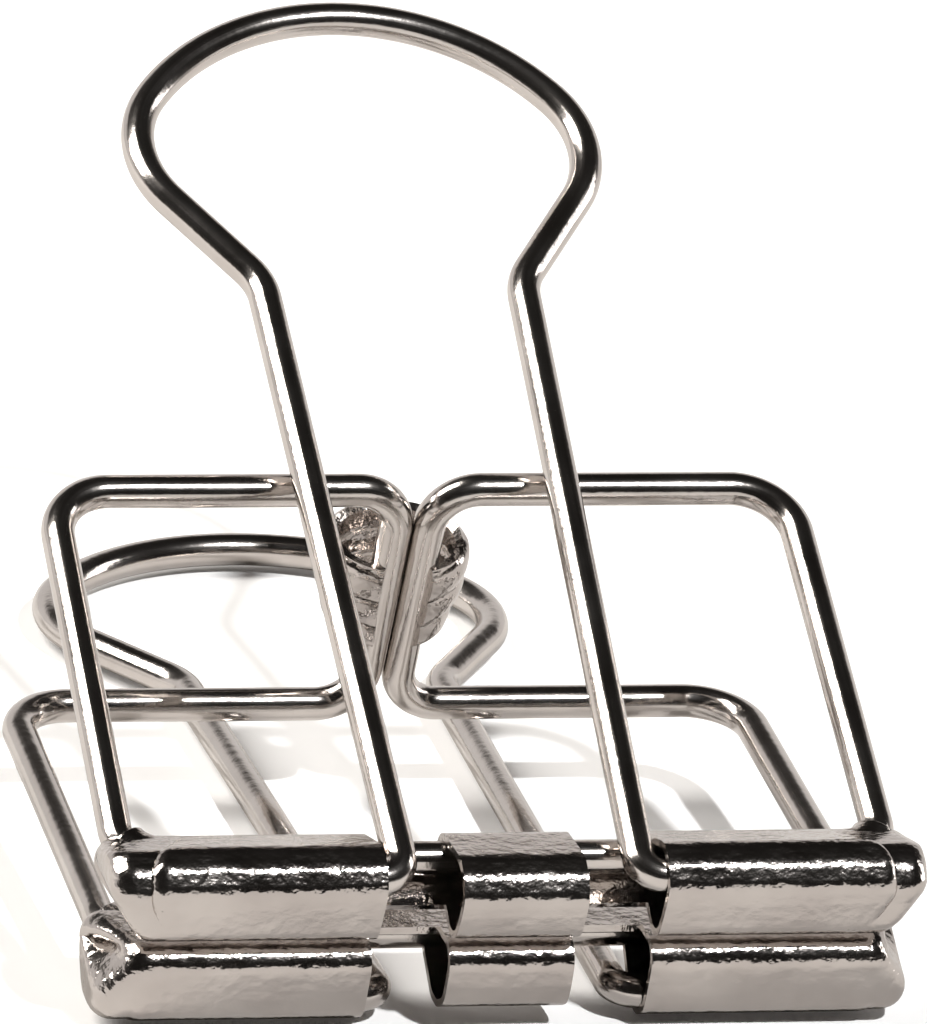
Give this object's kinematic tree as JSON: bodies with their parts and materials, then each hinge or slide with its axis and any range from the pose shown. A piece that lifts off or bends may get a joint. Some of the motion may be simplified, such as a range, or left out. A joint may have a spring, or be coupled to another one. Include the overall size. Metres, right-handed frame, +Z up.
{
  "type": "binder clip",
  "caption": "Open wire binder clip: a sprung wire frame with folded sheet lips that grip paper, and two swinging loop handles.",
  "frame": {"origin": "midway between the two front bars, in the middle of the mouth", "axes": "+X along the lips to the right, +Y from the mouth back to the spine, +Z up as the clip lies on a table, on its lower lip and lower handle"},
  "size_m": [0.0392, 0.0558, 0.0329],
  "materials": {
    "wire": "bright nickel plate, polished",
    "sheet": "bright nickel plate, slightly grainy"
  },
  "bodies": {
    "spine": {"spine_wire_left": "wire", "spine_wire_right": "wire", "spine_ferrule": "sheet"},
    "upper_jaw": {"upper_wire_left": "wire", "upper_wire_right": "wire", "lip_upper": "sheet"},
    "lower_jaw": {"lower_wire_left": "wire", "lower_wire_right": "wire", "lip_lower": "sheet"},
    "upper_handle": {"handle_upper": "wire"},
    "lower_handle": {"handle_lower": "wire"}
  },
  "joints": [
    {"name": "upper_jaw_open", "type": "hinge", "parent": "spine", "child": "upper_jaw", "pos_m": [0, 0.01945, 0.01198], "axis": [-1, 0, 0], "range_deg": [0, 12], "stiffness_Nm_per_rad": 0.3, "springref_deg": -2.86},
    {"name": "lower_jaw_open", "type": "hinge", "parent": "spine", "child": "lower_jaw", "pos_m": [0, 0.02284, -0.00057], "axis": [1, 0, 0], "range_deg": [0, 12], "stiffness_Nm_per_rad": 0.3, "springref_deg": -2.86},
    {"name": "upper_handle_swing", "type": "hinge", "parent": "upper_jaw", "child": "upper_handle", "pos_m": [0, -0.00381, 0.0026], "axis": [1, 0, 0], "range_deg": [0, 165]},
    {"name": "lower_handle_swing", "type": "hinge", "parent": "lower_jaw", "child": "lower_handle", "pos_m": [0, -0.00198, -0.00416], "axis": [-1, 0, 0], "range_deg": [-3, 162]}
  ],
  "couplings": [
    {"joint": "lower_jaw_open", "follows": "upper_jaw_open", "ratio": 1}
  ]
}
